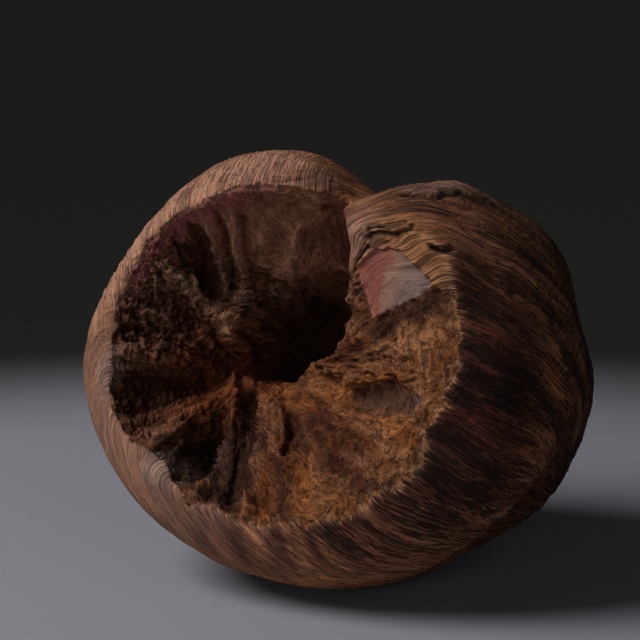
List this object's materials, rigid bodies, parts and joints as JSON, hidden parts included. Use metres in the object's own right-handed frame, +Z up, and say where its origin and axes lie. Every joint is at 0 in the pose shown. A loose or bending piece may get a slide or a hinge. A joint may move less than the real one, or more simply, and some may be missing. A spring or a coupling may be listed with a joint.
{
  "type": "oak burl",
  "caption": "Gnarled oak burl, a rounded lump of wound wood with a dished, torn face, a deep pit, a cleft over its top and a small worn flat to stand on",
  "frame": {"origin": "under the middle of the bounding box, on the plane that the burl stands on", "axes": "+Z up, -Y the side that the dished face looks towards (the face is turned 26 degrees towards -X and 11 degrees up), +X to the right of someone who looks at it from -Y"},
  "size_m": [0.1578, 0.137, 0.134],
  "materials": {
    "burl_wood": "weathered raw oak, dry and fibrous"
  },
  "bodies": {
    "root": {"oak_burl": "burl_wood"}
  },
  "joints": []
}
